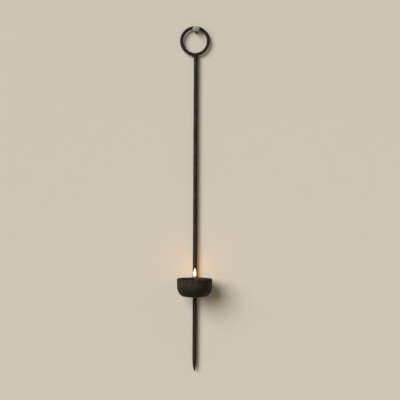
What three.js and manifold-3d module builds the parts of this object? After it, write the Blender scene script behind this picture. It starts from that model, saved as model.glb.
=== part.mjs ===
// Wall candle holder: an iron rod with a forged point hangs from a wall nail by a welded ring, and
// carries an open iron cup in front of it. A tealight stands in the cup.
//
// Millimetres. +Z is up, +X is to the right and +Y points into the wall. The origin is on the face
// of the wall, straight behind the place on the nail's axis where the ring hangs.

import * as THREE from 'three';
import { mergeVertices } from 'three/addons/utils/BufferGeometryUtils.js';
import Module from 'manifold-3d';

const wasm = await Module();
wasm.setup();

// Driving dimensions

const TOTAL_HEIGHT = 600; // from the top of the ring to the tip of the rod
const CLEARANCE = 0.3; // between pieces that touch or are welded

const NAIL_SHANK_RADIUS = 2.8;
const NAIL_STAND_OFF = 21; // from the wall to the front of the head, along the nail
const NAIL_EMBEDDED = 30; // inside the wall, with the point, along the nail
const NAIL_POINT = 12;
const NAIL_TIP_RADIUS = 0.3;
const NAIL_SLOPE = 8; // degrees, down into the wall
const NAIL_HEAD_RADIUS = 6;
const NAIL_HEAD_FLATTENING = 0.8; // height of the head over its width
const NAIL_HEAD_SHIFT = 0.9; // how far the head was struck off to the right
const NAIL_HEAD_EDGE = 1.2; // thickness of the head at its edge
const NAIL_HEAD_BEVEL = 0.5; // on both corners of that edge
const NAIL_HEAD_TOP_RADIUS = 2.4; // small flat where the crown's facets end
const NAIL_HEAD_CROWN = 2.6; // height of the faceted crown above the edge
const NAIL_HEAD_FACETS = 7;

const ROD_RADIUS = 3.5;
const ROD_STAND_OFF = 7; // from the wall to the axis of the rod and the plane of the ring
const POINT_LENGTH = 17;
const POINT_TIP_RADIUS = 0.9;
const POINT_SWELL = 1.5; // 1 is a straight cone, and more is rounder

const RING_OUTER_RADIUS = 26;
const RING_WIRE_RADIUS = 2.75;
const RING_OFFSET = 1.6; // how far left of the rod's line the hand-bent ring is welded

const CUP_RIM_DROP = 436.7; // from the top of the ring to the rim of the cup
const CUP_RADIUS = 30;
const CUP_HEIGHT = 30;
const CUP_WALL = 2;
const CUP_FLOOR_RADIUS = 18.5; // flat part of the underside
const CUP_CORNER_HEIGHT = 18; // the wall is straight above this

const RING_WELD_RADIUS = 4.5;
const RING_WELD_HALF_HEIGHT = 2.8;
const WELD_LUMP_RADIUS = 1.9;
const CUP_WELD_RADIUS = 1.9;
const CUP_WELD_LENGTH = 11;
const CUP_WELD_FORWARD = 2.9; // from the rod's axis to the bead's

const TEALIGHT_LIFT = 0.5; // above the floor of the cup, where the foot clears the round corner
const SHELL_RADIUS = 19;
const SHELL_HEIGHT = 22.5;
const SHELL_WALL = 0.4;
const SHELL_FOOT = 1; // bevel between the base and the side
const SHELL_LIP = 0.6; // how far the rolled edge stands out, and its height
const WAX_TOP = 20; // above the underside of the shell
const WAX_DISH = 0.8; // how far the burnt pool lies below the edge of the wax
const WAX_SHORE = 2.5; // width of the slope between that edge and the pool
const WICK_RADIUS = 0.8;
const WICK_TOP = 29.2; // above the underside of the shell
const SUSTAINER_RADIUS = 6;
const SUSTAINER_PLATE = 0.3;
const SUSTAINER_NECK_WALL = 0.5;
const SUSTAINER_NECK_TOP = 4.5; // above the underside of the shell

// Levels and places that follow from them

const RING_RADIUS = RING_OUTER_RADIUS - RING_WIRE_RADIUS;
const RING_INNER_RADIUS = RING_RADIUS - RING_WIRE_RADIUS;
const NAIL_TO_RING_CENTRE = RING_INNER_RADIUS - NAIL_SHANK_RADIUS - CLEARANCE;
const RING_CENTRE_Z = -Math.sqrt(NAIL_TO_RING_CENTRE ** 2 - RING_OFFSET ** 2);
const RING_TOP_Z = RING_CENTRE_Z + RING_OUTER_RADIUS;
const ROD_TOP_Z = RING_CENTRE_Z - RING_OUTER_RADIUS - CLEARANCE;
const ROD_TIP_Z = RING_TOP_Z - TOTAL_HEIGHT;
const CUP_BASE_Z = RING_TOP_Z - CUP_RIM_DROP - CUP_HEIGHT;
const CUP_FORWARD = ROD_RADIUS + CLEARANCE + CUP_RADIUS; // from the rod's axis to the cup's

// Materials

const IRON = { color: 0x2e2a26, roughness: 0.72, metalness: 0.5 };
const WELD = { color: 0x28241f, roughness: 0.6, metalness: 0.55 };
const NAIL_STEEL = { color: 0x88847a, roughness: 0.5, metalness: 0.7 };
const ALUMINIUM = { color: 0xc9cbcd, roughness: 0.3, metalness: 1 };
const TIN_PLATE = { color: 0xb3b4b2, roughness: 0.35, metalness: 1 };
const WAX = { color: 0xf1ead9, roughness: 0.45, metalness: 0 };
const COTTON = { color: 0x2a211b, roughness: 0.95, metalness: 0 };

// Shapes

// A solid of revolution about Z. The profile is a list of [radius, height].
function lathe(profile, segments) {
  const points = profile.map(([radius, height]) => new THREE.Vector2(radius, height));
  return new THREE.LatheGeometry(points, segments).rotateX(Math.PI / 2);
}

// A closed profile that turns round the axis without touching it.
function latheRing(profile, segments) {
  return lathe([...profile, profile[0]], segments);
}

// An upright cylinder that runs between two levels.
function uprightCylinder(radius, bottom, top, segments) {
  return new THREE.CylinderGeometry(radius, radius, top - bottom, segments)
    .rotateX(Math.PI / 2)
    .translate(0, 0, (top + bottom) / 2);
}

// The cup's round corner in the profile plane, a quarter of an ellipse that stops inset short of
// the outside, from the edge of the flat floor up to the straight wall.
function cupCorner(inset) {
  const steps = 8;
  const reach = CUP_RADIUS - CUP_FLOOR_RADIUS - inset;
  const drop = CUP_CORNER_HEIGHT - inset;
  return Array.from({ length: steps + 1 }, (_, step) => {
    const angle = (step / steps) * (Math.PI / 2);
    return [
      CUP_FLOOR_RADIUS + reach * Math.sin(angle),
      CUP_CORNER_HEIGHT - drop * Math.cos(angle),
    ];
  });
}

// Turns a geometry into a solid that can be joined and cut.
function solidOf(geometry) {
  const bare = geometry.clone();
  bare.deleteAttribute('normal');
  bare.deleteAttribute('uv');
  const merged = mergeVertices(bare, 1e-4);
  return new wasm.Manifold(new wasm.Mesh({
    numProp: 3,
    vertProperties: new Float32Array(merged.attributes.position.array),
    triVerts: new Uint32Array(merged.index.array),
  }));
}

// Turns a solid back into a geometry.
function geometryOf(solid) {
  const mesh = solid.getMesh();
  const geometry = new THREE.BufferGeometry();
  geometry.setAttribute('position', new THREE.BufferAttribute(mesh.vertProperties, 3));
  geometry.setIndex(new THREE.BufferAttribute(mesh.triVerts, 1));
  geometry.computeVertexNormals();
  return geometry;
}

function addPiece(parent, name, geometry, finish) {
  const piece = new THREE.Mesh(geometry, new THREE.MeshStandardMaterial(finish));
  piece.name = name;
  parent.add(piece);
  return piece;
}

function addGroup(parent, x, y, z) {
  const group = new THREE.Group();
  group.position.set(x, y, z);
  parent.add(group);
  return group;
}

// The nail, made upright with the wall's face at height 0 and its head above it.
function nailGeometry() {
  const edgeTop = NAIL_STAND_OFF - NAIL_HEAD_CROWN;
  const edgeBottom = edgeTop - NAIL_HEAD_EDGE;
  const edgeMiddle = (edgeTop + edgeBottom) / 2;
  const shank = lathe([
    [0, -NAIL_EMBEDDED],
    [NAIL_TIP_RADIUS, -NAIL_EMBEDDED],
    [NAIL_SHANK_RADIUS, -NAIL_EMBEDDED + NAIL_POINT],
    [NAIL_SHANK_RADIUS, edgeMiddle],
    [0, edgeMiddle],
  ], 24);
  const head = lathe([
    [0, edgeBottom],
    [NAIL_HEAD_RADIUS - NAIL_HEAD_BEVEL, edgeBottom],
    [NAIL_HEAD_RADIUS, edgeMiddle],
    [NAIL_HEAD_RADIUS - NAIL_HEAD_BEVEL, edgeTop],
    [NAIL_HEAD_TOP_RADIUS, NAIL_STAND_OFF],
    [0, NAIL_STAND_OFF],
  ], NAIL_HEAD_FACETS)
    .scale(1, NAIL_HEAD_FLATTENING, 1)
    .translate(NAIL_HEAD_SHIFT, 0, 0);
  return geometryOf(solidOf(shank).add(solidOf(head)));
}

// The ring's wire, standing upright in the plane of the rod, with a chosen thickness.
function ringGeometry(wireRadius) {
  return new THREE.TorusGeometry(RING_RADIUS, wireRadius, 16, 72)
    .rotateX(Math.PI / 2)
    .translate(-RING_OFFSET, 0, RING_CENTRE_Z);
}

// The rod, with its slightly convex forged point at the bottom.
function rodGeometry() {
  const pointSteps = 6;
  const point = Array.from({ length: pointSteps + 1 }, (_, step) => {
    const along = step / pointSteps;
    const swell = 1 - (1 - along) ** POINT_SWELL;
    return [
      THREE.MathUtils.lerp(POINT_TIP_RADIUS, ROD_RADIUS, swell),
      ROD_TIP_Z + POINT_LENGTH * along,
    ];
  });
  return lathe([[0, ROD_TIP_Z], ...point, [ROD_RADIUS, ROD_TOP_Z], [0, ROD_TOP_Z]], 32);
}

// The bead that joins the ring to the rod, with a lump of weld at its left.
function ringWeldGeometry() {
  const collar = new THREE.SphereGeometry(RING_WELD_RADIUS, 24, 14)
    .scale(1, 1, RING_WELD_HALF_HEIGHT / RING_WELD_RADIUS)
    .translate(0, 0, ROD_TOP_Z);
  const lump = new THREE.SphereGeometry(WELD_LUMP_RADIUS, 12, 8)
    .translate(-RING_WELD_RADIUS, 0, ROD_TOP_Z);
  const rodSpace = uprightCylinder(
    ROD_RADIUS + CLEARANCE, ROD_TOP_Z - TOTAL_HEIGHT, ROD_TOP_Z + CLEARANCE, 32,
  );
  return geometryOf(
    solidOf(collar)
      .add(solidOf(lump))
      .subtract(solidOf(ringGeometry(RING_WIRE_RADIUS + CLEARANCE)))
      .subtract(solidOf(rodSpace)),
  );
}

// The bowl, with an even wall, standing on height 0.
function cupGeometry() {
  const bevel = CUP_WALL / 4;
  const innerRadius = CUP_RADIUS - CUP_WALL;
  const rim = [
    [CUP_RADIUS, CUP_HEIGHT - bevel],
    [CUP_RADIUS - bevel, CUP_HEIGHT],
    [innerRadius + bevel, CUP_HEIGHT],
    [innerRadius, CUP_HEIGHT - bevel],
  ];
  return lathe(
    [[0, 0], ...cupCorner(0), ...rim, ...cupCorner(CUP_WALL).reverse(), [0, CUP_WALL]],
    72,
  );
}

// One of the two beads in the corners between the rod and the back of the cup. side is -1 or 1.
function cupWeldGeometry(side) {
  const straightMiddle = (CUP_CORNER_HEIGHT + CUP_HEIGHT) / 2;
  const bead = new THREE.CapsuleGeometry(
    CUP_WELD_RADIUS, CUP_WELD_LENGTH - 2 * CUP_WELD_RADIUS, 6, 18,
  )
    .rotateX(Math.PI / 2)
    .translate(side * ROD_RADIUS, -CUP_WELD_FORWARD, CUP_BASE_Z + straightMiddle);
  const rodSpace = uprightCylinder(ROD_RADIUS + CLEARANCE, ROD_TIP_Z, ROD_TOP_Z, 32);
  const cupSpace = uprightCylinder(
    CUP_RADIUS + CLEARANCE, CUP_BASE_Z - CUP_HEIGHT, CUP_BASE_Z + 2 * CUP_HEIGHT, 144,
  ).translate(0, -CUP_FORWARD, 0);
  return geometryOf(
    solidOf(bead).subtract(solidOf(rodSpace)).subtract(solidOf(cupSpace)),
  );
}

// The tealight's shell, with a rolled edge, standing on height 0.
function shellGeometry() {
  const innerRadius = SHELL_RADIUS - SHELL_WALL;
  return lathe([
    [0, 0],
    [SHELL_RADIUS - SHELL_FOOT, 0],
    [SHELL_RADIUS, SHELL_FOOT],
    [SHELL_RADIUS, SHELL_HEIGHT - SHELL_LIP],
    [SHELL_RADIUS + SHELL_LIP, SHELL_HEIGHT - SHELL_LIP / 2],
    [SHELL_RADIUS + SHELL_LIP / 2, SHELL_HEIGHT],
    [innerRadius, SHELL_HEIGHT],
    [innerRadius, SHELL_FOOT],
    [SHELL_RADIUS - SHELL_FOOT, SHELL_WALL],
    [0, SHELL_WALL],
  ], 60);
}

// The wax, with a bore for the wick and recesses for the sustainer's plate and neck.
function waxGeometry() {
  const bottom = SHELL_WALL + CLEARANCE;
  const radius = SHELL_RADIUS - SHELL_WALL - CLEARANCE;
  const bore = WICK_RADIUS + CLEARANCE;
  const neckSpace = bore + SUSTAINER_NECK_WALL + CLEARANCE;
  const plateSpace = SUSTAINER_RADIUS + CLEARANCE;
  return latheRing([
    [plateSpace, bottom],
    [radius - SHELL_FOOT, bottom],
    [radius, bottom + SHELL_FOOT],
    [radius, WAX_TOP],
    [radius - WAX_SHORE, WAX_TOP - WAX_DISH],
    [bore, WAX_TOP - WAX_DISH],
    [bore, SUSTAINER_NECK_TOP + CLEARANCE],
    [neckSpace, SUSTAINER_NECK_TOP + CLEARANCE],
    [neckSpace, bottom + SUSTAINER_PLATE + CLEARANCE],
    [plateSpace, bottom + SUSTAINER_PLATE + CLEARANCE],
  ], 48);
}

// The sustainer: a round plate with a neck crimped round the wick.
function sustainerGeometry() {
  const bottom = SHELL_WALL + CLEARANCE;
  const bore = WICK_RADIUS + CLEARANCE;
  return latheRing([
    [bore, bottom],
    [SUSTAINER_RADIUS, bottom],
    [SUSTAINER_RADIUS, bottom + SUSTAINER_PLATE],
    [bore + SUSTAINER_NECK_WALL, bottom + SUSTAINER_PLATE],
    [bore + SUSTAINER_NECK_WALL, SUSTAINER_NECK_TOP],
    [bore, SUSTAINER_NECK_TOP],
  ], 32);
}

// Assembly

const sconce = new THREE.Group();

// The nail turns about the place where the ring hangs: a quarter turn brings its head to face the
// room along -Y, and the slope lifts the head and lowers the point.
const nail = addPiece(
  sconce, 'wall_nail', nailGeometry().translate(0, 0, -ROD_STAND_OFF), NAIL_STEEL,
);
nail.position.y = -ROD_STAND_OFF;
nail.rotation.x = Math.PI / 2 - THREE.MathUtils.degToRad(NAIL_SLOPE);

const holder = addGroup(sconce, 0, -ROD_STAND_OFF, 0);
addPiece(holder, 'hanging_ring', ringGeometry(RING_WIRE_RADIUS), IRON);
addPiece(holder, 'rod', rodGeometry(), IRON);
addPiece(holder, 'ring_weld', ringWeldGeometry(), WELD);
addPiece(holder, 'cup_weld_left', cupWeldGeometry(-1), WELD);
addPiece(holder, 'cup_weld_right', cupWeldGeometry(1), WELD);

const cup = addGroup(holder, 0, -CUP_FORWARD, CUP_BASE_Z);
addPiece(cup, 'cup', cupGeometry(), IRON);

const tealight = addGroup(cup, 0, 0, CUP_WALL + TEALIGHT_LIFT);
addPiece(tealight, 'tealight_shell', shellGeometry(), ALUMINIUM);
addPiece(tealight, 'wax', waxGeometry(), WAX);
addPiece(tealight, 'wick_sustainer', sustainerGeometry(), TIN_PLATE);
addPiece(
  tealight,
  'wick',
  uprightCylinder(WICK_RADIUS, SHELL_WALL + 2 * CLEARANCE, WICK_TOP, 12),
  COTTON,
);

export default sconce;
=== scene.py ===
"""Wall candle holder: the finished look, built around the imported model.

Everything is in metres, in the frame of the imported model: +Z up, +X to the right, +Y into the wall, with
the origin on the face of the wall, straight behind the place where the ring hangs on the nail. Sizes and
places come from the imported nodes. The file is laid out as an add-on and run as a script: property groups
hold what a user would change, an operator builds each piece or group of like pieces, and main() calls
them in order.
"""

import math
import random

import bmesh
import bpy
from bpy.props import FloatProperty, FloatVectorProperty, PointerProperty
from mathutils import Matrix, Vector, noise


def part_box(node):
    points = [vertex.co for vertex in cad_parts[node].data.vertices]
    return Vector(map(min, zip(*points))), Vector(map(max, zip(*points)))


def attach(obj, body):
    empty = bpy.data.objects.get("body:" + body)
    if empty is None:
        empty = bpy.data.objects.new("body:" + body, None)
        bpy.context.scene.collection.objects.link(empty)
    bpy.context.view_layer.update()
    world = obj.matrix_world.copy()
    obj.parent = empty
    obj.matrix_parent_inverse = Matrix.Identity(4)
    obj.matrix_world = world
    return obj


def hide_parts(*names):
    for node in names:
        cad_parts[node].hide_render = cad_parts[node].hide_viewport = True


bl_info = {
    "name": "Wall candle holder",
    "version": (1, 0, 0),
    "blender": (4, 5, 0),
    "location": "View3D > Sidebar > Candle holder",
    "description": "Builds an iron wall candle holder with a lit tealight",
    "category": "Object",
}

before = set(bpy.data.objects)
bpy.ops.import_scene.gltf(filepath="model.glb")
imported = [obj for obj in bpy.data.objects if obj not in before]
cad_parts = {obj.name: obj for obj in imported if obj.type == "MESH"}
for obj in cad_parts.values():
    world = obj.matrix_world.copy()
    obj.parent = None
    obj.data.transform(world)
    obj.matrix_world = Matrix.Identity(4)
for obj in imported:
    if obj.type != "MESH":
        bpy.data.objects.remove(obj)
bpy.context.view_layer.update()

MM = 0.001
MERGE_DISTANCE = 1e-7
UP = Vector((0, 0, 1))
PROUD = "stands_proud"  # attribute that keeps how proud hammering left each point
BLACK = (0.0, 0.0, 0.0, 1.0)
IRON_GLOSS = 0.2
IRON_SHEEN = (1.0, 0.9, 0.8, 1.0)


class Extent:
    """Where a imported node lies: its lowest and highest corners, its middle and its size."""

    def __init__(self, node):
        self.low, self.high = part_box(node)
        self.middle = (self.low + self.high) / 2
        self.size = self.high - self.low


NAIL = Extent("wall_nail")
RING = Extent("hanging_ring")
ROD = Extent("rod")
CUP = Extent("cup")
SHELL = Extent("tealight_shell")
WAX = Extent("wax")
WICK = Extent("wick")
SUSTAINER = Extent("wick_sustainer")
CUP_WELDS = {side: Extent(f"cup_weld_{side}") for side in ("left", "right")}

RING_WIRE_RADIUS = RING.size.y / 2
RING_RADIUS = RING.size.x / 2 - RING_WIRE_RADIUS
ROD_RADIUS = ROD.size.x / 2
CUP_RADIUS = CUP.size.x / 2
WICK_RADIUS = WICK.size.x / 2


# Settings


def colour(name, description, default):
    return FloatVectorProperty(
        name=name, description=description, subtype="COLOR", size=4, min=0, max=1, default=(*default, 1)
    )


def length(name, description, millimetres):
    return FloatProperty(
        name=name, description=description, default=millimetres * MM, min=0, precision=5, unit="LENGTH"
    )


class SconceIronSettings(bpy.types.PropertyGroup):
    """Colours and hammer marks of the blackened iron."""

    black: colour("Black", "Main tone of the oiled black iron", (0.0105, 0.0086, 0.0072))
    brown: colour("Brown", "Warmer tone of thin scale", (0.021, 0.0158, 0.0118))
    rubbed: colour("Rubbed", "Tone of the high spots that hands polish", (0.040, 0.034, 0.028))
    # Painted shade on the lower cup: a near-black colour that darkens it towards its bottom.
    painted_underside_shade: colour("Crust", "Tone of the thick scale low on the cup", (0.002, 0.0015, 0.001))
    blow_width: length("Hammer blow", "Width of one hammer mark on the cup", 7.5)
    blow_depth: length("Blow depth", "How deep a hammer mark is pressed into the cup", 0.22)
    bar_depth: length("Bar depth", "How deep the hammer marks on the rod and ring are", 0.16)
    cup_wall: length("Cup wall", "Thickness of the cup's sheet", 2.0)
    cup_floor: length("Cup floor", "Radius of the flat part of the cup's underside", 18.5)
    cup_corner: length("Cup corner", "Height at which the cup's wall becomes straight", 18)
    point_length: length("Point", "Length of the forged point", 17)
    point_tip: length("Point tip", "Radius of the blunt end of the point", 1.15)


class SconceNailSettings(bpy.types.PropertyGroup):
    """Sizes and colours of the forged nail."""

    steel: colour("Steel", "Bare grey steel of the facets", (0.45, 0.44, 0.395))
    stain: colour("Stain", "Dark stain in the hollows", (0.12, 0.116, 0.1))
    # Painted shade: the shank behind the head is painted near black for its shaded underside.
    shank_painted_shade: colour("Shank", "Rusty dark steel of the shank", (0.05, 0.045, 0.04))
    head_radius: length("Head radius", "Mean half width of the hammered head", 6.5)
    head_flattening: FloatProperty(
        name="Head flattening", description="Height of the head over its width", default=0.8, min=0
    )
    head_edge: length("Head edge", "Thickness of the head at its edge", 1.3)
    head_crown: length("Head crown", "Height of the facets above the edge", 2.6)
    head_shift: length("Head shift", "How far the head was struck to the right of the shank", 0.4)
    head_lift: length("Head lift", "How far the head was struck above the shank", 0.9)
    shank_radius: length("Shank radius", "Radius of the shank", 2.75)
    stand_off: length("Stand-off", "From the wall to the front of the head, along the nail", 21)
    embedded: length("Embedded", "Length inside the wall", 30)
    point_length: length("Point", "Length of the nail's point", 12)
    slope: FloatProperty(
        name="Slope",
        description="How far the nail slopes down into the wall",
        default=math.radians(8),
        unit="ROTATION",
    )


class SconceCandleSettings(bpy.types.PropertyGroup):
    """Sizes and colours of the tealight and its flame."""

    aluminium: colour("Aluminium", "Bright drawn foil of the shell", (0.80, 0.80, 0.81))
    smudge: colour("Smudge", "Finger marks on the foil", (0.6, 0.58, 0.55))
    tin: colour("Tin plate", "Plate of the wick's foot", (0.62, 0.62, 0.61))
    tarnish: colour("Tarnish", "Dull patches on the tin plate", (0.3, 0.28, 0.25))
    wax: colour("Wax", "Set wax at the edge", (0.86, 0.80, 0.68))
    melt: colour("Melted wax", "Wet wax of the pool", (0.74, 0.62, 0.44))
    cotton: colour("Cotton", "Waxed cotton at the foot of the wick", (0.62, 0.52, 0.36))
    char: colour("Char", "Burnt end of the wick", (0.012, 0.009, 0.008))
    ember: colour("Ember", "Red glow at the very end of the wick", (1.0, 0.16, 0.02))
    flame_height: length("Flame height", "From the foot of the flame to its tip", 18)
    flame_width: length("Flame width", "Widest part of the flame", 6.4)
    flame_rise: length("Flame rise", "How far the flame's foot lies below the end of the wick", 0.5)
    glow_power: FloatProperty(
        name="Glow power", description="Light that the flame throws", default=0.021, min=0, unit="POWER"
    )
    glow_colour: colour("Glow colour", "Colour of the flame's light", (1.0, 0.38, 0.08))


class SconceStageSettings(bpy.types.PropertyGroup):
    """Backdrop, lights and camera."""

    wall: colour("Wall", "Plain pale wall", (0.645, 0.588, 0.495))
    floor: colour("Floor", "Plain pale floor", (0.86, 0.82, 0.75))
    floor_shade: colour("Floor shade", "How strongly the floor throws light back up", (0.55, 0.49, 0.40))
    sky: colour("Room", "Even light of the room", (1.0, 0.78, 0.56))
    sky_strength: FloatProperty(
        name="Room strength", description="Strength of the even light", default=0.15, min=0
    )
    backdrop: colour("Backdrop", "Plain pale backdrop that only the camera sees", (0.66, 0.62, 0.55))
    key: colour("Key", "Colour of the key light", (0.93, 0.975, 1.0))
    key_power: FloatProperty(
        name="Key power", description="Strength of the key light", default=3.22, min=0
    )
    key_spread: FloatProperty(
        name="Key spread",
        description="Angle that the key light fills, seen from the holder",
        default=math.radians(40),
        min=0,
        unit="ROTATION",
    )
    lens: FloatProperty(name="Lens", description="Focal length in millimetres", default=85.35, min=1)
    camera_distance: length("Camera distance", "From the camera to the plane of the rod", 1650)
    camera_right: length("Camera right", "How far the camera stands to the right of the rod", 8.5)
    camera_roll: FloatProperty(
        name="Camera roll", description="Roll of the camera", default=math.radians(0.27), unit="ROTATION"
    )


SETTINGS = {
    "sconce_iron": SconceIronSettings,
    "sconce_nail": SconceNailSettings,
    "sconce_candle": SconceCandleSettings,
    "sconce_stage": SconceStageSettings,
}


# Shader nodes


def add_node(tree, kind, inputs=None, **settings):
    """Adds a shader node. An input that is a socket is linked to, and any other value is set."""
    made = tree.nodes.new("ShaderNode" + kind)
    for name, value in settings.items():
        setattr(made, name, value)
    for key, value in (inputs or {}).items():
        if isinstance(value, bpy.types.NodeSocket):
            tree.links.new(value, made.inputs[key])
        else:
            made.inputs[key].default_value = value
    return made


def calculate(tree, operation, first, second):
    """One step of arithmetic on two numbers or sockets."""
    return add_node(tree, "Math", {0: first, 1: second}, operation=operation).outputs[0]


def remap(tree, value, low, high, new_low=0.0, new_high=1.0):
    """Stretches a value from one range to another, and holds it inside the new one."""
    made = add_node(
        tree,
        "MapRange",
        {"Value": value, "From Min": low, "From Max": high, "To Min": new_low, "To Max": new_high},
    )
    return made.outputs["Result"]


def blend_colours(tree, factor, first, second):
    """The first colour where the factor is 0, and the second where it is 1."""
    factor_socket, first_socket, second_socket = 0, 6, 7
    made = add_node(
        tree,
        "Mix",
        {factor_socket: factor, first_socket: first, second_socket: second},
        data_type="RGBA",
    )
    return made.outputs[2]


def cloud(tree, vector, scale, detail=3.0, roughness=0.55):
    """Soft random pattern with scale blotches to a metre."""
    inputs = {"Vector": vector, "Scale": scale, "Detail": detail, "Roughness": roughness}
    return add_node(tree, "TexNoise", inputs).outputs[0]


def bump(tree, height, distance, strength):
    """A normal for fine relief, where a height of 1 stands one distance proud."""
    inputs = {"Height": height, "Distance": distance, "Strength": strength}
    return add_node(tree, "Bump", inputs).outputs["Normal"]


def object_place(tree):
    """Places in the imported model's frame, where every piece lies."""
    return add_node(tree, "TexCoord").outputs["Object"]


def centred_place(tree, extent):
    """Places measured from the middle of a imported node."""
    inputs = {"Vector": object_place(tree), "Location": -extent.middle}
    return add_node(tree, "Mapping", inputs).outputs["Vector"]


def along(tree, place, axis):
    """How far a place lies along one axis."""
    return add_node(tree, "SeparateXYZ", {"Vector": place}).outputs[axis]


def start_material(name):
    """Makes an empty material and returns it with its node tree and its shader."""
    material = bpy.data.materials.new(name)
    material.use_nodes = True
    return material, material.node_tree, material.node_tree.nodes["Principled BSDF"]


def feed(tree, shader, **sockets):
    """Links or sets the shader's sockets, named with _ for spaces."""
    for name, value in sockets.items():
        socket = shader.inputs[name.replace("_", " ")]
        if isinstance(value, bpy.types.NodeSocket):
            tree.links.new(value, socket)
        else:
            socket.default_value = value


def new_group(name, inputs, outputs):
    """Starts a shader node group with a place and number sockets, and returns it with its two end nodes."""
    group = bpy.data.node_groups.new(name, "ShaderNodeTree")
    group.interface.new_socket("Place", in_out="INPUT", socket_type="NodeSocketVector")
    for socket, default in inputs.items():
        made = group.interface.new_socket(socket, in_out="INPUT", socket_type="NodeSocketFloat")
        made.default_value = default
    for socket in outputs:
        group.interface.new_socket(socket, in_out="OUTPUT", socket_type="NodeSocketFloat")
    start = group.nodes.new("NodeGroupInput")
    end = group.nodes.new("NodeGroupOutput")
    return group, start, end


def place_group(tree, group, place, values):
    """Puts a node group in a material with its own values, and returns the group's outputs."""
    made = tree.nodes.new("ShaderNodeGroup")
    made.node_tree = group
    tree.links.new(place, made.inputs["Place"])
    for name, value in values.items():
        made.inputs[name].default_value = value
    return made.outputs


def forge_scale_group():
    """Forge scale on hot-worked metal: broad tone blotches, small flakes and a fine grain."""
    name = "Forge scale"
    if name in bpy.data.node_groups:
        return bpy.data.node_groups[name]
    inputs = {"Blotch scale": 45.0, "Flake scale": 420.0, "Grain scale": 2600.0}
    group, start, end = new_group(name, inputs, ("Tone", "Flakes", "Height"))
    place = start.outputs["Place"]
    blotches = cloud(group, place, start.outputs["Blotch scale"], detail=5.0, roughness=0.62)
    flakes = cloud(group, place, start.outputs["Flake scale"], detail=4.0, roughness=0.7)
    grain = cloud(group, place, start.outputs["Grain scale"], detail=2.0)
    flecks = calculate(group, "MULTIPLY", flakes, 0.35)
    tone = remap(group, calculate(group, "ADD", blotches, flecks), 0.45, 0.95)
    flake_mask = remap(group, flakes, 0.52, 0.66)
    flake_height = calculate(group, "MULTIPLY", flake_mask, 0.7)
    grain_height = calculate(group, "MULTIPLY", grain, 0.5)
    height = calculate(group, "ADD", flake_height, grain_height)
    group.links.new(tone, end.inputs["Tone"])
    group.links.new(flake_mask, end.inputs["Flakes"])
    group.links.new(height, end.inputs["Height"])
    return group


# Materials


def iron_finish(name, flake_scale, rubbed_share, painted_shade_heights=None):
    """Blackened iron: mottled scale, and hand-polished high spots between hammer marks.

    painted_shade_heights is left out or a pair of heights: painted shade darkens the iron most below the
    first, and is gone above the second.
    """
    settings = bpy.context.scene.sconce_iron
    material, tree, shader = start_material(name)
    place = object_place(tree)
    scale = place_group(tree, forge_scale_group(), place, {"Flake scale": flake_scale})
    proud = add_node(tree, "Attribute", attribute_name=PROUD).outputs["Fac"]
    rubbed = calculate(tree, "MULTIPLY", remap(tree, proud, 0.1, 0.75), rubbed_share)
    base = blend_colours(tree, scale["Tone"], tuple(settings.black), tuple(settings.brown))
    base = blend_colours(tree, rubbed, base, tuple(settings.rubbed))
    # Painted shade: the mask called thick blends the iron towards a near-black colour low on the cup, where
    # it turns away from the light.
    if painted_shade_heights:
        full_shade_below, no_shade_above = painted_shade_heights
        thick = remap(tree, along(tree, place, "Z"), full_shade_below, no_shade_above, 0.75, 0.0)
        base = blend_colours(tree, thick, base, tuple(settings.painted_underside_shade))
    roughness = remap(tree, scale["Tone"], 0.0, 1.0, 0.54, 0.74)
    polish = calculate(tree, "MULTIPLY", rubbed, 0.12)
    feed(
        tree,
        shader,
        Base_Color=base,
        Roughness=calculate(tree, "SUBTRACT", roughness, polish),
        Specular_IOR_Level=IRON_GLOSS,
        Specular_Tint=IRON_SHEEN,
        Normal=bump(tree, scale["Height"], distance=0.1 * MM, strength=0.9),
    )
    return material


def weld_finish():
    """Weld metal: as black as the bar, but smoother and never rubbed."""
    settings = bpy.context.scene.sconce_iron
    material, tree, shader = start_material("weld_metal")
    scales = {"Blotch scale": 260.0, "Flake scale": 900.0}
    scale = place_group(tree, forge_scale_group(), object_place(tree), scales)
    base = blend_colours(tree, scale["Tone"], tuple(settings.black), tuple(settings.brown))
    feed(
        tree,
        shader,
        Base_Color=base,
        Roughness=remap(tree, scale["Flakes"], 0.0, 1.0, 0.42, 0.62),
        Specular_IOR_Level=IRON_GLOSS,
        Specular_Tint=IRON_SHEEN,
        Normal=bump(tree, scale["Height"], distance=0.05 * MM, strength=0.8),
    )
    return material


def nail_finish():
    """Bare forged steel: a dull grey head, stained in its hollows, on a shank painted near black as painted
    shade.
    """
    settings = bpy.context.scene.sconce_nail
    material, tree, shader = start_material("nail_steel")
    place = object_place(tree)
    scales = {"Blotch scale": 330.0, "Flake scale": 1300.0}
    scale = place_group(tree, forge_scale_group(), place, scales)
    proud = add_node(tree, "Attribute", attribute_name=PROUD).outputs["Fac"]
    hollow = remap(tree, proud, 0.2, -0.5, 0.35, 1.0)
    stain = calculate(tree, "MULTIPLY", remap(tree, scale["Tone"], 0.35, 1.0), hollow)
    head_back = NAIL.low.y + settings.head_edge + settings.head_crown
    fade = 1.5 * MM
    # Painted shade: behind the head the steel blends into the near-black shank colour.
    shank = remap(tree, along(tree, place, "Y"), head_back, head_back + fade)
    head_tone = blend_colours(tree, stain, tuple(settings.steel), tuple(settings.stain))
    base = blend_colours(tree, shank, head_tone, tuple(settings.shank_painted_shade))
    feed(
        tree,
        shader,
        Base_Color=base,
        Roughness=remap(tree, scale["Tone"], 0.0, 1.0, 0.42, 0.6),
        Metallic=remap(tree, stain, 0.0, 1.0, 0.4, 0.1),
        Normal=bump(tree, scale["Height"], distance=0.05 * MM, strength=0.9),
    )
    return material


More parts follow.
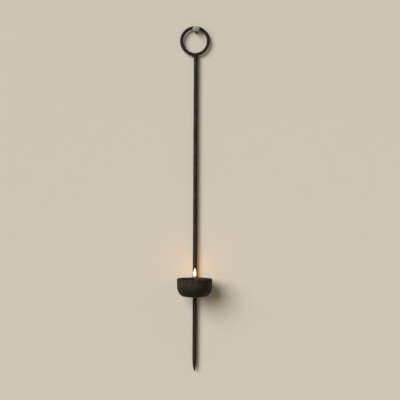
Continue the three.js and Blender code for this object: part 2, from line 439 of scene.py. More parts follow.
def aluminium_finish():
    """Thin drawn foil, with fine lines up its side from the draw."""
    settings = bpy.context.scene.sconce_candle
    material, tree, shader = start_material("aluminium_foil")
    centred = centred_place(tree, SHELL)
    angle = calculate(tree, "ARCTAN2", along(tree, centred, "Y"), along(tree, centred, "X"))
    rise = calculate(tree, "MULTIPLY", along(tree, centred, "Z"), 6.0)
    unrolled = add_node(tree, "CombineXYZ", {"X": angle, "Y": rise}).outputs["Vector"]
    lines = cloud(tree, unrolled, 26.0, detail=4.0, roughness=0.7)
    smudges = cloud(tree, centred, 120.0)
    smudge_share = remap(tree, smudges, 0.45, 0.8, 0.0, 0.25)
    feed(
        tree,
        shader,
        Base_Color=blend_colours(tree, smudge_share, tuple(settings.aluminium), tuple(settings.smudge)),
        Metallic=1.0,
        Roughness=remap(tree, smudges, 0.3, 0.75, 0.2, 0.38),
        Normal=bump(tree, lines, distance=0.05 * MM, strength=0.6),
    )
    return material


def tin_finish():
    """Bright tin plate with a little tarnish."""
    settings = bpy.context.scene.sconce_candle
    material, tree, shader = start_material("tin_plate")
    tarnish = cloud(tree, object_place(tree), 500.0, detail=4.0)
    tarnish_share = remap(tree, tarnish, 0.5, 0.75, 0.0, 0.6)
    feed(
        tree,
        shader,
        Base_Color=blend_colours(tree, tarnish_share, tuple(settings.tin), tuple(settings.tarnish)),
        Metallic=1.0,
        Roughness=remap(tree, tarnish, 0.3, 0.7, 0.25, 0.45),
        Normal=bump(tree, tarnish, distance=0.02 * MM, strength=0.5),
    )
    return material


def wax_finish():
    """Wax that glows from inside: set and satin at the edge, melted and wet round the wick."""
    settings = bpy.context.scene.sconce_candle
    material, tree, shader = start_material("paraffin_wax")
    centred = centred_place(tree, WAX)
    flat_inputs = {axis: along(tree, centred, axis) for axis in "XY"}
    flat = add_node(tree, "CombineXYZ", flat_inputs).outputs["Vector"]
    radius = add_node(tree, "VectorMath", {0: flat}, operation="LENGTH").outputs["Value"]
    wander = calculate(tree, "MULTIPLY", cloud(tree, centred, 160.0), 1.6 * MM)
    top = WAX.size.z / 2
    on_top = remap(tree, along(tree, centred, "Z"), top - 2 * MM, top - 1.2 * MM)
    shore = WAX.size.x / 2 - 2.2 * MM
    inside = remap(tree, calculate(tree, "ADD", radius, wander), shore + 1.1 * MM, shore + 0.5 * MM)
    wet = calculate(tree, "MULTIPLY", inside, on_top)
    grain = calculate(tree, "MULTIPLY", cloud(tree, centred, 700.0), remap(tree, wet, 1.0, 0.0))
    feed(
        tree,
        shader,
        Base_Color=blend_colours(tree, wet, tuple(settings.wax), tuple(settings.melt)),
        Roughness=remap(tree, wet, 0.0, 1.0, 0.42, 0.04),
        Subsurface_Weight=0.6,
        Subsurface_Radius=(1.0, 0.55, 0.28),
        Subsurface_Scale=3 * MM,
        IOR=1.44,
        Normal=bump(tree, grain, distance=0.06 * MM, strength=0.5),
    )
    return material


def wick_finish():
    """Waxed cotton at its foot, burnt black above, with a red ember at the very end."""
    settings = bpy.context.scene.sconce_candle
    material, tree, shader = start_material("charred_cotton")
    place = object_place(tree)
    wander = calculate(tree, "MULTIPLY", cloud(tree, place, 900.0), 1.5 * MM)
    height = calculate(tree, "ADD", along(tree, place, "Z"), wander)
    burnt = remap(tree, height, WAX.high.z + 1.6 * MM, WAX.high.z + 3.6 * MM)
    ember = remap(tree, height, WICK.high.z - 0.5 * MM, WICK.high.z + 0.6 * MM)
    fibres = cloud(tree, place, 4200.0)
    feed(
        tree,
        shader,
        Base_Color=blend_colours(tree, burnt, tuple(settings.cotton), tuple(settings.char)),
        Roughness=remap(tree, burnt, 0.0, 1.0, 0.5, 0.95),
        Emission_Color=blend_colours(tree, ember, BLACK, tuple(settings.ember)),
        Emission_Strength=1.5,
        Normal=bump(tree, fibres, distance=0.1 * MM, strength=0.9),
    )
    material.cycles.emission_sampling = "NONE"
    return material


def flame_finish(name, foot, strength, colour_stops, alpha_stops):
    """Burning gas, coloured by its height above the foot of the flame.

    Each stop is a share of the flame's height, with the colour or the alpha there.
    """
    settings = bpy.context.scene.sconce_candle
    material, tree, shader = start_material(name)
    share = remap(tree, along(tree, object_place(tree), "Z"), foot, foot + settings.flame_height)
    colours = add_node(tree, "ValToRGB", {"Fac": share})
    set_stops(colours.color_ramp, colour_stops)
    alphas = add_node(tree, "ValToRGB", {"Fac": share})
    set_stops(alphas.color_ramp, [(at, (alpha, alpha, alpha)) for at, alpha in alpha_stops])
    feed(
        tree,
        shader,
        Base_Color=BLACK,
        Roughness=1.0,
        Specular_IOR_Level=0.0,
        Emission_Color=colours.outputs["Color"],
        Emission_Strength=strength,
        Alpha=alphas.outputs["Color"],
    )
    material.cycles.emission_sampling = "NONE"
    return material


def set_stops(ramp, stops):
    """Gives a colour ramp its stops, each a place from 0 to 1 and a colour."""
    while len(ramp.elements) < len(stops):
        ramp.elements.new(1.0)
    for element, (at, shade) in zip(ramp.elements, stops):
        element.position = at
        element.color = (*shade, 1)


def plain_finish(name, shade):
    """Matt paint of one colour."""
    material, tree, shader = start_material(name)
    feed(tree, shader, Base_Color=shade, Roughness=0.9, Specular_IOR_Level=0.1)
    return material


# Shapes


def arc(centre, radius, start, end, steps):
    """Points round part of a circle in the profile plane. Angles are in degrees from straight out."""
    across, up = centre
    angles = [math.radians(start + (end - start) * step / steps) for step in range(steps + 1)]
    return [(across + radius * math.cos(angle), up + radius * math.sin(angle)) for angle in angles]


def close_up(shape):
    """Merges the doubled seam and poles that a turn leaves, and points every face outwards."""
    bmesh.ops.remove_doubles(shape, verts=shape.verts, dist=MERGE_DISTANCE)
    bmesh.ops.recalc_face_normals(shape, faces=shape.faces)


def fill_in(profile, spacing):
    """Adds points along the long stretches of a profile, so that none lie further apart than spacing."""
    points = [profile[0]]
    for start, end in zip(profile, profile[1:]):
        parts = math.ceil(math.dist(start, end) / spacing)
        points += [Vector(start).lerp(Vector(end), part / parts) for part in range(1, parts + 1)]
    return points


def turn(profile, axis, steps, spacing, closed=False):
    """Turns a profile of (radius, height) points about an upright axis. A closed one makes a ring."""
    shape = bmesh.new()
    outline = fill_in([*profile, profile[0]], spacing)[:-1] if closed else fill_in(profile, spacing)
    points = [shape.verts.new((axis.x + radius, axis.y, height)) for radius, height in outline]
    for pair in zip(points, points[1:]):
        shape.edges.new(pair)
    if closed:
        shape.edges.new((points[-1], points[0]))
    bmesh.ops.spin(
        shape,
        geom=shape.verts[:] + shape.edges[:],
        cent=(axis.x, axis.y, 0),
        axis=UP,
        dvec=(0, 0, 0),
        angle=math.tau,
        steps=steps,
        use_merge=True,
        use_duplicate=False,
    )
    close_up(shape)
    return shape


def hammer(shape, width, depth, stretch=(1, 1, 1), wobble=0.0):
    """Presses overlapping hammer marks into a surface, on top of a slow wobble.

    It also keeps how proud each point stands, from -0.4 in a mark to 1.2 on the ridges between marks.
    """
    proud = shape.verts.layers.float.new(PROUD)
    shape.normal_update()
    ridge, middle_height, proud_unit = 0.8, 0.2, 0.5
    wobble_scale, wobble_start = 0.31, Vector((7.1, 3.3, 5.7))
    moves = []
    for vertex in shape.verts:
        place = Vector([co / (width * share) for co, share in zip(vertex.co, stretch)])
        nearest = noise.voronoi(place)[0][0]
        height = min(nearest * nearest, ridge) - middle_height
        drift = noise.noise(place * wobble_scale + wobble_start) * wobble
        moves.append(vertex.normal * (height * depth + drift))
        vertex[proud] = height / proud_unit
    for vertex, move in zip(shape.verts, moves):
        vertex.co += move


def make_piece(name, shape, finish, body, nodes):
    """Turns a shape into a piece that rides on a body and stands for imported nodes, if any."""
    mesh = bpy.data.meshes.new(name)
    shape.to_mesh(mesh)
    shape.free()
    mesh.shade_smooth()
    mesh.materials.append(finish)
    piece = bpy.data.objects.new(name, mesh)
    bpy.context.scene.collection.objects.link(piece)
    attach(piece, body)
    if nodes:
        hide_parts(*nodes)
    return piece


def melt_together(name, drops, voxel, smoothing):
    """Fuses drops of metal, each (centre, radius, squash), into one skin and returns it as a shape."""
    drops_shape = bmesh.new()
    for centre, radius, squash in drops:
        place = Matrix.Translation(centre) @ Matrix.Diagonal((1, 1, squash, 1))
        bmesh.ops.create_icosphere(drops_shape, subdivisions=4, radius=radius, matrix=place)
    mesh = bpy.data.meshes.new(name)
    drops_shape.to_mesh(mesh)
    drops_shape.free()
    lump = bpy.data.objects.new(name, mesh)
    bpy.context.scene.collection.objects.link(lump)
    fuse = lump.modifiers.new("fuse", "REMESH")
    fuse.mode = "VOXEL"
    fuse.voxel_size = voxel
    calm = lump.modifiers.new("calm", "SMOOTH")
    calm.iterations = smoothing
    fused = bpy.data.meshes.new_from_object(lump.evaluated_get(bpy.context.evaluated_depsgraph_get()))
    shape = bmesh.new()
    shape.from_mesh(fused)
    bpy.data.objects.remove(lump)
    for leftover in (mesh, fused):
        bpy.data.meshes.remove(leftover)
    return shape


# Pieces


class SCONCE_OT_nail(bpy.types.Operator):
    """Build the forged nail with its hammered, faceted head"""

    bl_idname = "sconce.nail"
    bl_label = "Nail"

    def execute(self, context):
        settings = context.scene.sconce_nail
        under_head = settings.stand_off - settings.head_edge - settings.head_crown
        shape = self.point(settings)
        self.raise_head(shape, under_head, settings)
        self.strike_head(shape, under_head, settings)
        bmesh.ops.bevel(
            shape,
            geom=shape.edges[:],
            offset=0.28 * MM,
            segments=2,
            profile=0.5,
            affect="EDGES",
            material=-1,
            clamp_overlap=True,
        )
        self.refine(shape)
        self.drive_in(shape, settings)
        close_up(shape)
        hammer(shape, width=1.9 * MM, depth=0.12 * MM)
        make_piece("wall_nail_forged", shape, nail_finish(), "wall_fixing", ["wall_nail"])
        return {"FINISHED"}

    def point(self, settings):
        """The nail's eight-sided point, standing on its tip, with the face of the wall at height 0."""
        shape = bmesh.new()
        bmesh.ops.create_cone(
            shape,
            cap_ends=True,
            segments=8,
            radius1=0.3 * MM,
            radius2=settings.shank_radius,
            depth=settings.point_length,
            matrix=Matrix.Translation((0, 0, settings.point_length / 2 - settings.embedded)),
        )
        return shape

    def raise_head(self, shape, under_head, settings):
        """Draws the shank up from the point, spreads it into the head, and tilts the top of the crown."""
        shank_length = under_head + settings.embedded - settings.point_length
        head_spread = settings.head_radius / settings.shank_radius
        stages = [
            (shank_length, 1),
            (0, head_spread * 0.9),
            (settings.head_edge * 0.55, 1.1),
            (settings.head_edge * 0.45, 0.94),
            (settings.head_crown, 0.5),
        ]
        face = max(shape.faces, key=lambda each: each.calc_center_median().z)
        for rise, spread in stages:
            face = self.extend(shape, face, rise, spread)
        tilt = Matrix.Rotation(math.radians(16), 3, "Y") @ Matrix.Rotation(math.radians(9), 3, "X")
        bmesh.ops.rotate(shape, verts=face.verts, cent=face.calc_center_median(), matrix=tilt)

    def extend(self, shape, face, rise, spread):
        """Pulls one face up and widens or narrows it, and returns the moved face."""
        far = bmesh.ops.extrude_discrete_faces(shape, faces=[face])["faces"][0]
        centre = far.calc_center_median()
        bmesh.ops.scale(shape, verts=far.verts, vec=(spread, spread, 1), space=Matrix.Translation(-centre))
        bmesh.ops.translate(shape, verts=far.verts, vec=(0, 0, rise))
        return far

    def strike_head(self, shape, under_head, settings):
        """Flattens the head, moves its corners as uneven blows would, and sets it off the shank's line."""
        draw = random.Random(11)
        hair = 0.01 * MM
        for vertex in shape.verts:
            out = Vector((vertex.co.x, vertex.co.y, 0))
            on_edge = vertex.co.z > under_head - hair and out.length > settings.shank_radius * 1.05
            if on_edge or vertex.co.z > under_head + hair:
                vertex.co.y *= settings.head_flattening
                vertex.co += out.normalized() * draw.uniform(-0.5, 0.2) * MM
                vertex.co += UP * draw.uniform(-0.3, 0) * MM
                vertex.co += Vector((settings.head_shift, settings.head_lift, 0))

    def refine(self, shape):
        """Splits the shape into small even triangles, fine enough to be hammered."""
        bmesh.ops.triangulate(shape, faces=shape.faces)
        for longest in (4 * MM, 2 * MM, 1 * MM):
            long_edges = [edge for edge in shape.edges if edge.calc_length() > longest]
            bmesh.ops.subdivide_edges(shape, edges=long_edges, cuts=1, use_grid_fill=True)
            bmesh.ops.triangulate(shape, faces=shape.faces)

    def drive_in(self, shape, settings):
        """Turns the upright nail down into the wall, about the place where the ring hangs."""
        hang = ROD.middle.y
        lay = Matrix.Rotation(math.pi / 2 - settings.slope, 3, "X")
        bmesh.ops.translate(shape, verts=shape.verts, vec=(0, 0, hang))
        bmesh.ops.rotate(shape, verts=shape.verts, cent=(0, 0, 0), matrix=lay)
        bmesh.ops.translate(shape, verts=shape.verts, vec=(0, hang, 0))


class SCONCE_OT_ring(bpy.types.Operator):
    """Build the hanging ring, bent from round wire"""

    bl_idname = "sconce.ring"
    bl_label = "Hanging ring"

    def execute(self, context):
        settings = context.scene.sconce_iron
        shape = bmesh.new()
        section = Matrix.Translation(RING.middle + Vector((RING_RADIUS, 0, 0)))
        bmesh.ops.create_circle(
            shape, cap_ends=False, radius=RING_WIRE_RADIUS, segments=36, matrix=section
        )
        bmesh.ops.spin(
            shape,
            geom=shape.verts[:] + shape.edges[:],
            cent=RING.middle,
            axis=(0, 1, 0),
            dvec=(0, 0, 0),
            angle=math.tau,
            steps=220,
            use_merge=True,
            use_duplicate=False,
        )
        close_up(shape)
        hammer(shape, width=3.6 * MM, depth=settings.bar_depth, wobble=0.12 * MM)
        finish = iron_finish("ring_iron", flake_scale=700.0, rubbed_share=0.5)
        make_piece("hanging_ring_bent", shape, finish, "holder", ["hanging_ring"])
        return {"FINISHED"}


class SCONCE_OT_rod(bpy.types.Operator):
    """Build the rod with its forged point"""

    bl_idname = "sconce.rod"
    bl_label = "Rod"

    def execute(self, context):
        settings = context.scene.sconce_iron
        shape = turn(self.profile(settings), ROD.middle, steps=32, spacing=1.1 * MM)
        self.draw_point(shape, settings)
        along_bar = (1, 1, 2.6)
        hammer(shape, width=3.4 * MM, depth=settings.bar_depth, stretch=along_bar, wobble=0.1 * MM)
        finish = iron_finish("rod_iron", flake_scale=620.0, rubbed_share=0.55)
        make_piece("rod_forged", shape, finish, "holder", ["rod"])
        return {"FINISHED"}

    def profile(self, settings):
        """The rod's outline: a blunt tip, a slightly swelling point and a straight bar."""
        steps, roundness = 14, 1.5
        tip, start = settings.point_tip, ROD.low.z + settings.point_tip
        point = []
        for step in range(1, steps + 1):
            share = step / steps
            swell = 1 - (1 - share) ** roundness
            point.append((tip + (ROD_RADIUS - tip) * swell, start + (settings.point_length - tip) * share))
        edge = 0.5 * MM
        return [
            *arc((0, start), tip, -90, 0, 6),
            *point,
            (ROD_RADIUS, ROD.high.z - edge),
            (ROD_RADIUS - edge, ROD.high.z),
            (0, ROD.high.z),
        ]

    def draw_point(self, shape, settings):
        """Flattens the point a little on four sides, as it is drawn out on the anvil."""
        flattening, drawn_length = 0.13, settings.point_length * 1.3
        for vertex in shape.verts:
            share = 1 - (vertex.co.z - ROD.low.z) / drawn_length
            if share > 0:
                out = vertex.co - Vector((ROD.middle.x, ROD.middle.y, vertex.co.z))
                corner = abs(math.sin(2 * math.atan2(out.y, out.x)))
                vertex.co -= out * flattening * min(1, share * 2) * (1 - corner)


class SCONCE_OT_cup(bpy.types.Operator):
    """Build the hammered cup, with an even wall and a softened rim"""

    bl_idname = "sconce.cup"
    bl_label = "Cup"

    def execute(self, context):
        settings = context.scene.sconce_iron
        shape = turn(self.profile(settings), CUP.middle, steps=230, spacing=0.75 * MM)
        hammer(shape, settings.blow_width, settings.blow_depth, wobble=0.25 * MM)
        # Heights of the painted shade low on the cup: darkest below the first, gone above the second.
        painted_shade_heights = (CUP.low.z + 3 * MM, CUP.low.z + 17 * MM)
        finish = iron_finish("cup_iron", flake_scale=420.0, rubbed_share=0.45, painted_shade_heights=painted_shade_heights)
        make_piece("cup_hammered", shape, finish, "holder", ["cup"])
        return {"FINISHED"}

    def profile(self, settings):
        """The cup's section: up the outside, over the rim and down the inside."""
        wall, edge = settings.cup_wall, 0.55 * MM
        outer_rim = (CUP_RADIUS - edge, CUP.high.z - edge)
        inner_rim = (CUP_RADIUS - wall + edge, CUP.high.z - edge)
        return [
            (0, CUP.low.z),
            *self.corner(settings, 0),
            *arc(outer_rim, edge, 0, 90, 4),
            *arc(inner_rim, edge, 90, 180, 4),
            *reversed(self.corner(settings, wall)),
            (0, CUP.low.z + wall),
        ]

    def corner(self, settings, inset):
        """The round corner, a quarter of an ellipse from the flat floor up to the straight wall."""
        steps = 26
        reach = CUP_RADIUS - settings.cup_floor - inset
        drop = settings.cup_corner - inset
        points = []
        for step in range(steps + 1):
            angle = math.pi / 2 * step / steps
            radius = settings.cup_floor + reach * math.sin(angle)
            points.append((radius, CUP.low.z + settings.cup_corner - drop * math.cos(angle)))
        return points


class SCONCE_OT_welds(bpy.types.Operator):
    """Build the weld beads under the ring and behind the cup"""

    bl_idname = "sconce.welds"
    bl_label = "Welds"

    def execute(self, context):
        finish = weld_finish()
        bead = melt_together("ring_bead", self.ring_drops(), voxel=0.22 * MM, smoothing=3)
        make_piece("ring_weld_bead", bead, finish, "holder", ["ring_weld"])
        for side, place in CUP_WELDS.items():
            drops = self.cup_drops(side, place)
            bead = melt_together(f"cup_bead_{side}", drops, voxel=0.22 * MM, smoothing=2)
            name = f"cup_weld_{side}"
            make_piece(f"{name}_bead", bead, finish, "holder", [name])
        return {"FINISHED"}

    def ring_drops(self):
        """Drops round the top of the rod, tucked under the ring's wire, with a bigger lump at the left."""
        drops = []
        count = 15
        joint = Vector((ROD.middle.x, ROD.middle.y, RING.low.z))
        for index in range(count):
            angle = math.tau * index / count
            rise = -0.55 + 1.2 * abs(math.sin(angle)) ** 3
            out = Vector((math.cos(angle) * 3.25, math.sin(angle) * 2.95, rise)) * MM
            drops.append((joint + out, (1.2 + 0.12 * math.sin(index * 2.3)) * MM, 0.85))
        for out, radius in (((-4.3, 0, -0.7), 1.75), ((-4.9, -0.4, 0.3), 1.3)):
            drops.append((joint + Vector(out) * MM, radius * MM, 0.9))
        return drops

    def cup_drops(self, side, place):
        """A run of overlapping drops, one above the other, in the corner between the rod and the cup."""
        drops = []
        count = 8
        outward = -1 if side == "left" else 1
        margin = 1.2
        for index in range(count):
            rise = margin + index * (place.size.z / MM - 2 * margin) / (count - 1)
            wander = 0.22 * math.sin(index * 1.9 + outward) * MM
            across = place.middle.x - outward * 0.2 * MM + wander
            centre = Vector((across, place.middle.y, place.low.z + rise * MM))
            drops.append((centre, (1.45 + 0.1 * math.cos(index * 2.1)) * MM, 0.72))
        return drops


class SCONCE_OT_tealight(bpy.types.Operator):
    """Build the tealight: its drawn shell, its wax, its wick and the wick's foot"""

    bl_idname = "sconce.tealight"
    bl_label = "Tealight"

    def execute(self, context):
        shell = turn(self.shell_profile(), SHELL.middle, steps=160, spacing=0.8 * MM)
        self.flute(shell)
        foil = aluminium_finish()
        make_piece("tealight_shell_drawn", shell, foil, "tealight", ["tealight_shell"])
        wax = turn(self.wax_profile(), WAX.middle, steps=120, spacing=0.5 * MM, closed=True)
        self.slump(wax)
        make_piece("wax_melted", wax, wax_finish(), "candle", ["wax"])
        foot = turn(self.foot_profile(), SUSTAINER.middle, steps=64, spacing=0.4 * MM, closed=True)
        make_piece("wick_foot_pressed", foot, tin_finish(), "candle", ["wick_sustainer"])
        make_piece("wick_braided", self.wick_shape(), wick_finish(), "candle", ["wick"])
        return {"FINISHED"}

    def shell_profile(self):
        """Outside from the pressed base up to the rolled edge, then down the inside. The foil is thin."""
        foil, foot, lip = 0.3 * MM, 1.2 * MM, 0.42 * MM
        low, top = SHELL.low.z, SHELL.high.z
        rolled = SHELL.size.x / 2
        side = rolled - 0.6 * MM
        press, press_radius = 0.35 * MM, side - 4 * MM
        return [
            (0, low + press),
            (press_radius, low + press),
            (press_radius + 0.5 * MM, low),
            *arc((side - foot, low + foot), foot, -90, 0, 6),
            (side, top - 2.2 * lip),
            *arc((rolled - lip, top - lip), lip, -60, 150, 8),
            (side - foil, top - 1.4 * lip),
            *arc((side - foot, low + foot), foot - foil, 0, -90, 6),
            (press_radius + 0.3 * MM, low + foil),
            (press_radius - 0.2 * MM, low + press + foil),
            (0, low + press + foil),
        ]

    def flute(self, shell):
        """The faint creases that the draw leaves near the edge."""
        for vertex in shell.verts:
            out = vertex.co - Vector((SHELL.middle.x, SHELL.middle.y, vertex.co.z))
            if out.length < SHELL.size.x / 2 - 2 * MM:
                continue
            share = (vertex.co.z - SHELL.low.z) / SHELL.size.z
            around = math.atan2(out.y, out.x)
            crease = noise.noise(Vector((math.cos(around) * 7, math.sin(around) * 7, share * 0.8)))
            vertex.co += out.normalized() * (crease * 0.1 * MM * share)

    def wax_profile(self):
        """The puck's section: recesses for the wick's foot, a bore, and a pool that dips to the wick."""
        clearance = 0.3 * MM
        radius, low, top = WAX.size.x / 2, WAX.low.z, WAX.high.z
        bore = WICK_RADIUS + clearance
        plate, plate_top = SUSTAINER.size.x / 2 + clearance, low + 2 * clearance
        neck, neck_top = bore + 0.8 * MM, SUSTAINER.high.z + clearance
        dish = 0.8 * MM
        shore = radius - 2.4 * MM
        return [
            (plate, low),
            *arc((radius - 1 * MM, low + 1 * MM), 1 * MM, -90, 0, 4),
            *arc((radius - 0.4 * MM, top - 0.4 * MM), 0.4 * MM, 0, 90, 3),
            (shore + 1.1 * MM, top - 0.1 * dish),
            (shore + 0.5 * MM, top - 0.45 * dish),
            (shore, top - 0.85 * dish),
            (shore - 1 * MM, top - dish),
            (bore + 1.4 * MM, top - dish),
            (bore + 0.5 * MM, top - 0.75 * dish),
            (bore, top - 0.3 * dish),
            (bore, neck_top),
            (neck, neck_top),
            (neck, plate_top),
            (plate, plate_top),
        ]

    def slump(self, wax):
        """Makes the shore of the pool uneven, as wax melts and sets in drifts."""
        for vertex in wax.verts:
            out = vertex.co - Vector((WAX.middle.x, WAX.middle.y, vertex.co.z))
            on_shore = WAX.size.x / 2 - 3.4 * MM < out.length < WAX.size.x / 2 - 0.8 * MM
            if vertex.co.z > WAX.high.z - 1 * MM and on_shore:
                broad = noise.noise(vertex.co * 210) * 0.5
                fine = noise.noise(vertex.co * 620) * 0.2
                vertex.co += out.normalized() * (broad + fine) * MM

    def foot_profile(self):
        """The pressed plate and the neck that grips the wick."""
        bore, neck = WICK_RADIUS + 0.12 * MM, WICK_RADIUS + 0.75 * MM
        plate, low, high = SUSTAINER.size.x / 2, SUSTAINER.low.z, SUSTAINER.high.z
        skin, rounding = 0.3 * MM, 0.15 * MM
        return [
            (bore, low),
            (plate - rounding, low),
            (plate, low + rounding),
            (plate - rounding, low + skin),
            (neck + 0.5 * MM, low + skin),
            (neck, low + 2.4 * skin),
            (neck - 0.1 * MM, high - 0.2 * MM),
            (neck - 0.3 * MM, high),
            (bore, high - 0.1 * MM),
        ]

    def wick_shape(self):
        """Three strands laid round each other, and burnt at the top."""
        shape = bmesh.new()
        strands, turns, steps = 3, 5, 110
        strand_radius, lay_radius = 0.43 * MM, 0.4 * MM  # lay_radius: from the wick's axis to a strand's
        for index in range(strands):
            around = Matrix.Rotation(math.tau * index / strands, 4, "Z")
            place = Matrix.Translation((WICK.middle.x, WICK.middle.y, WICK.low.z)) @ around
            section = bmesh.ops.create_circle(
                shape,
                cap_ends=False,
                radius=strand_radius,
                segments=14,
                matrix=place @ Matrix.Translation((lay_radius, 0, 0)),
            )["verts"]
            edges = list({edge for vertex in section for edge in vertex.link_edges})
            bmesh.ops.spin(
                shape,
                geom=section + edges,
                cent=WICK.middle,
                axis=UP,
                dvec=(0, 0, WICK.size.z / steps),
                angle=math.tau * turns,
                steps=steps,
                use_merge=False,
                use_duplicate=False,
            )
        open_edges = [edge for edge in shape.edges if edge.is_boundary]
        bmesh.ops.holes_fill(shape, edges=open_edges, sides=0)
        close_up(shape)
        self.burn(shape)
        return shape

    def burn(self, wick):
        """Thins and frays the wick above the wax, and lets its end lean and sag."""
        burnt_length = WICK.high.z - WAX.high.z
        thinning, fraying = 0.35, 0.12
        lean, sag = 0.9 * MM, 0.5 * MM
        for vertex in wick.verts:
            share = max(0, (vertex.co.z - WAX.high.z) / burnt_length)
            middle = Vector((WICK.middle.x, WICK.middle.y, vertex.co.z))
            width = 1 - thinning * share**3 + fraying * share * noise.noise(vertex.co * 1400)
            vertex.co = middle + (vertex.co - middle) * width
            vertex.co.x += lean * share**2
            vertex.co.z -= sag * share**3


class SCONCE_OT_flame(bpy.types.Operator):
    """Build the flame and the light that it throws"""

    bl_idname = "sconce.flame"
    bl_label = "Flame"

    def execute(self, context):
        settings = context.scene.sconce_candle
        foot = WICK.high.z - settings.flame_rise
        white = (1.0, 0.93, 0.74)
        yellow = (1.0, 0.72, 0.22)
        amber = (1.0, 0.42, 0.08)
        blue = (0.10, 0.16, 0.55)
        core = flame_finish(
            "flame_core",
            foot,
            strength=2.6,
            colour_stops=[(0.0, amber), (0.2, yellow), (0.34, white), (0.85, white), (1.0, yellow)],
            alpha_stops=[(0.0, 0.0), (0.14, 0.0), (0.3, 1.0), (1.0, 1.0)],
        )
        veil = flame_finish(
            "flame_veil",
            foot,
            strength=1.2,
            colour_stops=[(0.0, blue), (0.14, amber), (0.5, yellow), (1.0, amber)],
            alpha_stops=[(0.0, 0.04), (0.12, 0.1), (0.3, 0.2), (0.8, 0.25), (1.0, 0.3)],
        )
        self.tongue("flame_core", core, foot, start=0.06, end=0.96, width_share=0.72)
        for number, width_share in enumerate((0.79, 0.9, 1.0), start=1):
            end = 0.97 + 0.01 * number
            self.tongue(f"flame_veil_{number}", veil, foot, start=0.0, end=end, width_share=width_share)
        self.glow(settings, foot)
        return {"FINISHED"}

    def tongue(self, name, finish, foot, start, end, width_share):
        """One teardrop of flame between two shares of the flame's height."""
        settings = bpy.context.scene.sconce_candle
        low = foot + settings.flame_height * start
        height = settings.flame_height * (end - start)
        belly = settings.flame_width * width_share * 2 / 3
        lean = 0.5 * MM
        steps = 40
        profile = []
        for step in range(steps + 1):
            share = step / steps
            radius = 3 * belly * share * (1 - share)
            rise = 3 * share**2 * (1 - share) * 0.6 + share**3
            profile.append((radius, low + height * rise))
        profile[-1] = (0, low + height)
        shape = turn(profile, WICK.middle, steps=40, spacing=1 * MM)
        for vertex in shape.verts:
            vertex.co.x += lean * ((vertex.co.z - foot) / settings.flame_height) ** 2
        piece = make_piece(name, shape, finish, "candle", [])
        piece.visible_shadow = False
        piece.visible_diffuse = False

    def glow(self, settings, foot):
        """A small warm lamp in the flame, which moves with the candle."""
        data = bpy.data.lights.new("flame_glow", "POINT")
        data.energy = settings.glow_power
        data.color = settings.glow_colour[:3]
        data.shadow_soft_size = settings.flame_width / 2
        lamp = bpy.data.objects.new("flame_glow", data)
        bpy.context.scene.collection.objects.link(lamp)
        lamp.location = (WICK.middle.x, WICK.middle.y, foot + settings.flame_height * 0.45)
        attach(lamp, "candle")


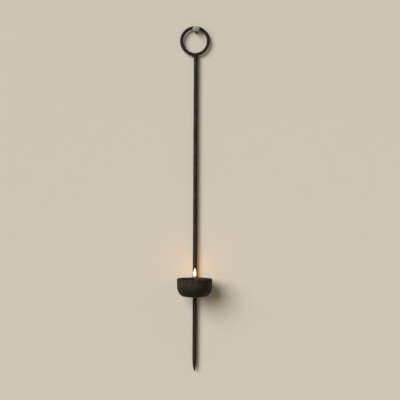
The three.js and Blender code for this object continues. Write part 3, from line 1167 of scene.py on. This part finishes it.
class SCONCE_OT_stage(bpy.types.Operator):
    """Build the plain wall and floor, the lights and the camera"""

    bl_idname = "sconce.stage"
    bl_label = "Stage"

    def execute(self, context):
        settings = context.scene.sconce_stage
        wall_width, floor_width, floor_drop = 3.0, 60.0, 1.5
        upright = Matrix.Rotation(math.pi / 2, 4, "X")
        below = Matrix.Translation((0, 0, -floor_drop))
        wall = self.board("wall", wall_width, upright, self.wall_finish(settings))
        floor = self.board("floor", floor_width, below, self.floor_finish(settings))
        self.light(settings)
        self.fill(settings)
        self.camera(settings)
        context.scene.view_settings.view_transform = "Standard"
        return {"FINISHED"}

    def board(self, name, width, place, finish):
        """A square sheet, lying flat before it is put in its place."""
        shape = bmesh.new()
        bmesh.ops.create_grid(shape, x_segments=1, y_segments=1, size=width / 2, matrix=place)
        mesh = bpy.data.meshes.new(name)
        shape.to_mesh(mesh)
        shape.free()
        mesh.materials.append(finish)
        board = bpy.data.objects.new(name, mesh)
        bpy.context.scene.collection.objects.link(board)
        return board

    def wall_finish(self, settings):
        """Plain paint that is clear from behind, so that the back of the holder can be looked at."""
        material = plain_finish("wall_paint", tuple(settings.wall))
        tree = material.node_tree
        paint = tree.nodes["Principled BSDF"].outputs[0]
        clear = add_node(tree, "BsdfTransparent").outputs[0]
        behind = add_node(tree, "NewGeometry").outputs["Backfacing"]
        both = add_node(tree, "MixShader", {0: behind, 1: paint, 2: clear}).outputs[0]
        tree.links.new(both, tree.nodes["Material Output"].inputs["Surface"])
        return material

    def floor_finish(self, settings):
        """Pale paint to look at, which throws no more light back up than a room's darker floor."""
        material = plain_finish("floor_paint", tuple(settings.floor))
        tree = material.node_tree
        seen = add_node(tree, "LightPath").outputs["Is Camera Ray"]
        shade = blend_colours(tree, seen, tuple(settings.floor_shade), tuple(settings.floor))
        tree.links.new(shade, tree.nodes["Principled BSDF"].inputs["Base Color"])
        return material

    def light(self, settings):
        """A wide, even, soft key light from the upper left of the room."""
        towards = Vector((-0.68, -1.0, 0.5)).normalized()
        distance = 2.0
        data = bpy.data.lights.new("soft_key", "SUN")
        data.angle = settings.key_spread
        data.energy = settings.key_power
        data.color = settings.key[:3]
        lamp = bpy.data.objects.new("soft_key", data)
        bpy.context.scene.collection.objects.link(lamp)
        lamp.location = towards * distance
        lamp.rotation_mode = "QUATERNION"
        lamp.rotation_quaternion = towards.to_track_quat("Z", "Y")

    def fill(self, settings):
        """Even light from the whole room, and a paler backdrop that only the camera sees."""
        world = bpy.data.worlds.new("room")
        world.use_nodes = True
        tree = world.node_tree
        seen = add_node(tree, "LightPath").outputs["Is Camera Ray"]
        even = [channel * settings.sky_strength for channel in settings.sky[:3]]
        shade = blend_colours(tree, seen, (*even, 1), tuple(settings.backdrop))
        tree.links.new(shade, tree.nodes["Background"].inputs["Color"])
        bpy.context.scene.world = world

    def camera(self, settings):
        """Square to the wall and slightly rolled, a little below the height of the holder's middle."""
        data = bpy.data.cameras.new("camera")
        data.lens = settings.lens
        camera = bpy.data.objects.new("camera", data)
        bpy.context.scene.collection.objects.link(camera)
        drop = 2.4 * MM
        height = (RING.high.z + ROD.low.z) / 2 - drop
        place = Vector((settings.camera_right, ROD.middle.y - settings.camera_distance, height))
        level = Matrix.Rotation(math.pi / 2, 4, "X")
        roll = Matrix.Rotation(settings.camera_roll, 4, "Z")
        camera.matrix_world = Matrix.Translation(place) @ level @ roll
        bpy.context.scene.camera = camera


OPERATORS = [
    SCONCE_OT_stage,
    SCONCE_OT_nail,
    SCONCE_OT_ring,
    SCONCE_OT_rod,
    SCONCE_OT_cup,
    SCONCE_OT_welds,
    SCONCE_OT_tealight,
    SCONCE_OT_flame,
]


class SCONCE_PT_build(bpy.types.Panel):
    """The candle holder's settings and the steps that build it"""

    bl_idname = "SCONCE_PT_build"
    bl_label = "Wall candle holder"
    bl_space_type = "VIEW_3D"
    bl_region_type = "UI"
    bl_category = "Candle holder"

    def draw(self, context):
        for name, kind in SETTINGS.items():
            box = self.layout.box()
            for setting in kind.__annotations__:
                box.prop(getattr(context.scene, name), setting)
        for operator in OPERATORS:
            self.layout.operator(operator.bl_idname)


CLASSES = [*SETTINGS.values(), *OPERATORS, SCONCE_PT_build]


def register():
    for each in CLASSES:
        bpy.utils.register_class(each)
    for name, kind in SETTINGS.items():
        setattr(bpy.types.Scene, name, PointerProperty(type=kind))


def unregister():
    for name in SETTINGS:
        delattr(bpy.types.Scene, name)
    for each in reversed(CLASSES):
        bpy.utils.unregister_class(each)


def main():
    register()
    for operator in OPERATORS:
        family, step = operator.bl_idname.split(".")
        getattr(getattr(bpy.ops, family), step)()


if __name__ == "__main__":
    main()
